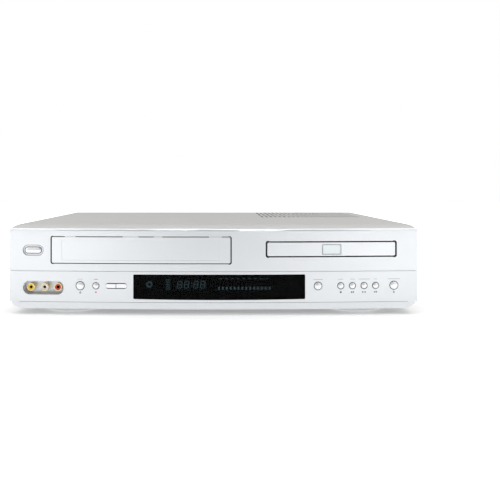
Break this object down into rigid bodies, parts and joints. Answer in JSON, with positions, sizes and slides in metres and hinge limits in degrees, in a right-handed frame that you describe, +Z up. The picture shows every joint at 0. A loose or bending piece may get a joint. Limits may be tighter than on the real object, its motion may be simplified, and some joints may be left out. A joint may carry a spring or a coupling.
{
  "type": "disc and cassette player",
  "caption": "Slim silver disc and video cassette deck with a bowed front, hinged cassette door, sliding disc tray, push buttons, recessed front sockets and round feet.",
  "frame": {"origin": "middle of the outer box on the surface that the feet stand on", "axes": "+X to the right seen from the front, -Y out of the front, +Z up"},
  "size_m": [0.435, 0.352, 0.095],
  "materials": {
    "cover_paint": "satin",
    "panel_silver": "satin silver moulding",
    "pan_steel": "zinc plated",
    "foot_silver": "satin",
    "pad_rubber": "matte",
    "screw_steel": "plain",
    "window_black": "polished, smoked",
    "tube_glass": "polished",
    "board_green": "solder mask",
    "part_black": "moulded",
    "jack_gold": "plated",
    "insert_yellow": "moulded",
    "insert_white": "moulded",
    "insert_red": "moulded",
    "button_silver": "satin",
    "core_iron": "varnished",
    "can_tin": "tinned",
    "rear_paint": "satin",
    "door_silver": "satin",
    "deck_steel": "zinc plated",
    "drum_aluminium": "turned",
    "reel_white": "moulded",
    "shaft_steel": "ground",
    "roller_rubber": "matte",
    "loader_black": "moulded",
    "tray_grey": "moulded",
    "badge_frost": "frosted",
    "gear_white": "moulded"
  },
  "bodies": {
    "case": {"top_cover": "cover_paint", "front_panel": "panel_silver", "bottom_pan": "pan_steel", "rear_panel": "rear_paint", "feet": "foot_silver", "foot_pads": "pad_rubber", "cover_screws": "screw_steel", "display_window": "window_black", "display_tube": "tube_glass", "front_board": "board_green", "tact_switches": "part_black", "av_jack_shells": "jack_gold", "av_insert_yellow": "insert_yellow", "av_insert_white": "insert_white", "av_insert_red": "insert_red", "main_board": "board_green", "power_board": "board_green", "transformer": "core_iron", "power_inlet": "part_black", "rear_jack_block": "part_black", "rear_jack_shells": "jack_gold", "rear_jack_inserts": "insert_white", "antenna_tuner": "can_tin", "deck_plate": "deck_steel", "lower_drum": "drum_aluminium", "tape_heads": "shaft_steel", "drive_frame": "loader_black", "clamp_bridge": "deck_steel"},
    "power_button": {"power_button": "button_silver"},
    "vcr_eject_button": {"vcr_eject_button": "button_silver"},
    "record_button": {"record_button": "button_silver"},
    "copy_button": {"copy_button": "button_silver"},
    "stop_button": {"stop_button": "button_silver"},
    "rewind_button": {"rewind_button": "button_silver"},
    "play_button": {"play_button": "button_silver"},
    "forward_button": {"forward_button": "button_silver"},
    "open_button": {"open_button": "button_silver"},
    "channel_down_button": {"channel_down_button": "button_silver"},
    "channel_up_button": {"channel_up_button": "button_silver"},
    "door": {"cassette_door": "door_silver"},
    "carrier": {"carrier_rails": "deck_steel"},
    "holder": {"cassette_holder": "deck_steel"},
    "drum": {"upper_drum": "drum_aluminium"},
    "capstan": {"capstan": "shaft_steel"},
    "supply_reel": {"supply_reel": "reel_white"},
    "takeup_reel": {"takeup_reel": "reel_white"},
    "pinch_arm": {"pinch_arm": "deck_steel"},
    "pinch_roller": {"pinch_roller": "roller_rubber"},
    "guide_left": {"guide_post_left": "shaft_steel"},
    "guide_right": {"guide_post_right": "shaft_steel"},
    "tray": {"disc_tray": "tray_grey", "tray_front": "door_silver", "tray_badge": "badge_frost"},
    "pinion": {"tray_pinion": "gear_white"},
    "traverse": {"traverse_plate": "deck_steel", "guide_rods": "shaft_steel", "spindle_motor": "can_tin"},
    "turntable": {"turntable": "loader_black"},
    "clamp": {"clamp_disc": "loader_black"},
    "sled": {"pickup_sled": "loader_black"}
  },
  "joints": [
    {"name": "power_press", "type": "slide", "parent": "case", "child": "power_button", "axis": [0, 1, 0], "range_m": [0, 0.001], "stiffness_N_per_m": 300, "springref_m": -0.0004},
    {"name": "vcr_eject_press", "type": "slide", "parent": "case", "child": "vcr_eject_button", "axis": [0, 1, 0], "range_m": [0, 0.0007], "stiffness_N_per_m": 300, "springref_m": -0.0004},
    {"name": "record_press", "type": "slide", "parent": "case", "child": "record_button", "axis": [0, 1, 0], "range_m": [0, 0.0007], "stiffness_N_per_m": 300, "springref_m": -0.0004},
    {"name": "copy_press", "type": "slide", "parent": "case", "child": "copy_button", "axis": [0, 1, 0], "range_m": [0, 0.0007], "stiffness_N_per_m": 300, "springref_m": -0.0004},
    {"name": "stop_press", "type": "slide", "parent": "case", "child": "stop_button", "axis": [0, 1, 0], "range_m": [0, 0.0007], "stiffness_N_per_m": 300, "springref_m": -0.0004},
    {"name": "rewind_press", "type": "slide", "parent": "case", "child": "rewind_button", "axis": [0, 1, 0], "range_m": [0, 0.0007], "stiffness_N_per_m": 300, "springref_m": -0.0004},
    {"name": "play_press", "type": "slide", "parent": "case", "child": "play_button", "axis": [0, 1, 0], "range_m": [0, 0.0007], "stiffness_N_per_m": 300, "springref_m": -0.0004},
    {"name": "forward_press", "type": "slide", "parent": "case", "child": "forward_button", "axis": [0, 1, 0], "range_m": [0, 0.0007], "stiffness_N_per_m": 300, "springref_m": -0.0004},
    {"name": "open_press", "type": "slide", "parent": "case", "child": "open_button", "axis": [0, 1, 0], "range_m": [0, 0.0007], "stiffness_N_per_m": 300, "springref_m": -0.0004},
    {"name": "channel_down_press", "type": "slide", "parent": "case", "child": "channel_down_button", "axis": [0, 1, 0], "range_m": [0, 0.0007], "stiffness_N_per_m": 300, "springref_m": -0.0004},
    {"name": "channel_up_press", "type": "slide", "parent": "case", "child": "channel_up_button", "axis": [0, 1, 0], "range_m": [0, 0.0007], "stiffness_N_per_m": 300, "springref_m": -0.0004},
    {"name": "door_hinge", "type": "hinge", "parent": "case", "child": "door", "pos_m": [-0.07685, -0.17167, 0.0824], "axis": [0.9995, -0.0324, 0], "range_deg": [0, 82], "stiffness_Nm_per_rad": 0.01, "springref_deg": -17.19},
    {"name": "carrier_slide", "type": "slide", "parent": "case", "child": "carrier", "axis": [0, 1, 0], "range_m": [0, 0.05]},
    {"name": "holder_drop", "type": "slide", "parent": "carrier", "child": "holder", "axis": [0, 0, -1], "range_m": [0, 0.02]},
    {"name": "drum_spin", "type": "hinge", "parent": "case", "child": "drum", "pos_m": [-0.07685, 0.036, 0.032], "axis": [0.1045, 0, 0.9945], "continuous": true},
    {"name": "capstan_spin", "type": "hinge", "parent": "case", "child": "capstan", "pos_m": [-0.024, 0.014, 0.026], "axis": [0, 0, 1], "continuous": true},
    {"name": "supply_spin", "type": "hinge", "parent": "case", "child": "supply_reel", "pos_m": [-0.12285, -0.048, 0.026], "axis": [0, 0, 1], "continuous": true},
    {"name": "takeup_spin", "type": "hinge", "parent": "case", "child": "takeup_reel", "pos_m": [-0.03085, -0.048, 0.026], "axis": [0, 0, 1], "continuous": true},
    {"name": "pinch_swing", "type": "hinge", "parent": "case", "child": "pinch_arm", "pos_m": [-0.004, 0.03, 0.0343], "axis": [0, 0, 1], "range_deg": [-25, 0]},
    {"name": "roller_spin", "type": "hinge", "parent": "pinch_arm", "child": "pinch_roller", "pos_m": [-0.00785, 0.01058, 0.0343], "axis": [0, 0, 1], "continuous": true},
    {"name": "guide_left_slide", "type": "slide", "parent": "case", "child": "guide_left", "axis": [0, 1, 0], "range_m": [0, 0.036]},
    {"name": "guide_right_slide", "type": "slide", "parent": "case", "child": "guide_right", "axis": [0, 1, 0], "range_m": [0, 0.036]},
    {"name": "tray_slide", "type": "slide", "parent": "case", "child": "tray", "axis": [0, -1, 0], "range_m": [0, 0.135]},
    {"name": "pinion_spin", "type": "hinge", "parent": "case", "child": "pinion", "pos_m": [0.0819, -0.138, 0.0621], "axis": [0, 0, 1], "range_deg": [0, 970]},
    {"name": "traverse_lift", "type": "slide", "parent": "case", "child": "traverse", "axis": [0, 0, 1], "range_m": [0, 0.007]},
    {"name": "turntable_spin", "type": "hinge", "parent": "traverse", "child": "turntable", "pos_m": [0.1249, -0.092, 0.062], "axis": [0, 0, 1], "continuous": true},
    {"name": "clamp_spin", "type": "hinge", "parent": "case", "child": "clamp", "pos_m": [0.1249, -0.092, 0.0706], "axis": [0, 0, 1], "continuous": true},
    {"name": "sled_slide", "type": "slide", "parent": "traverse", "child": "sled", "axis": [0, 1, 0], "range_m": [0, 0.033]}
  ],
  "couplings": [
    {"joint": "guide_right_slide", "follows": "guide_left_slide", "ratio": 1},
    {"joint": "pinion_spin", "follows": "tray_slide", "rad_per_m": 125},
    {"joint": "clamp_spin", "follows": "turntable_spin", "ratio": 1}
  ]
}
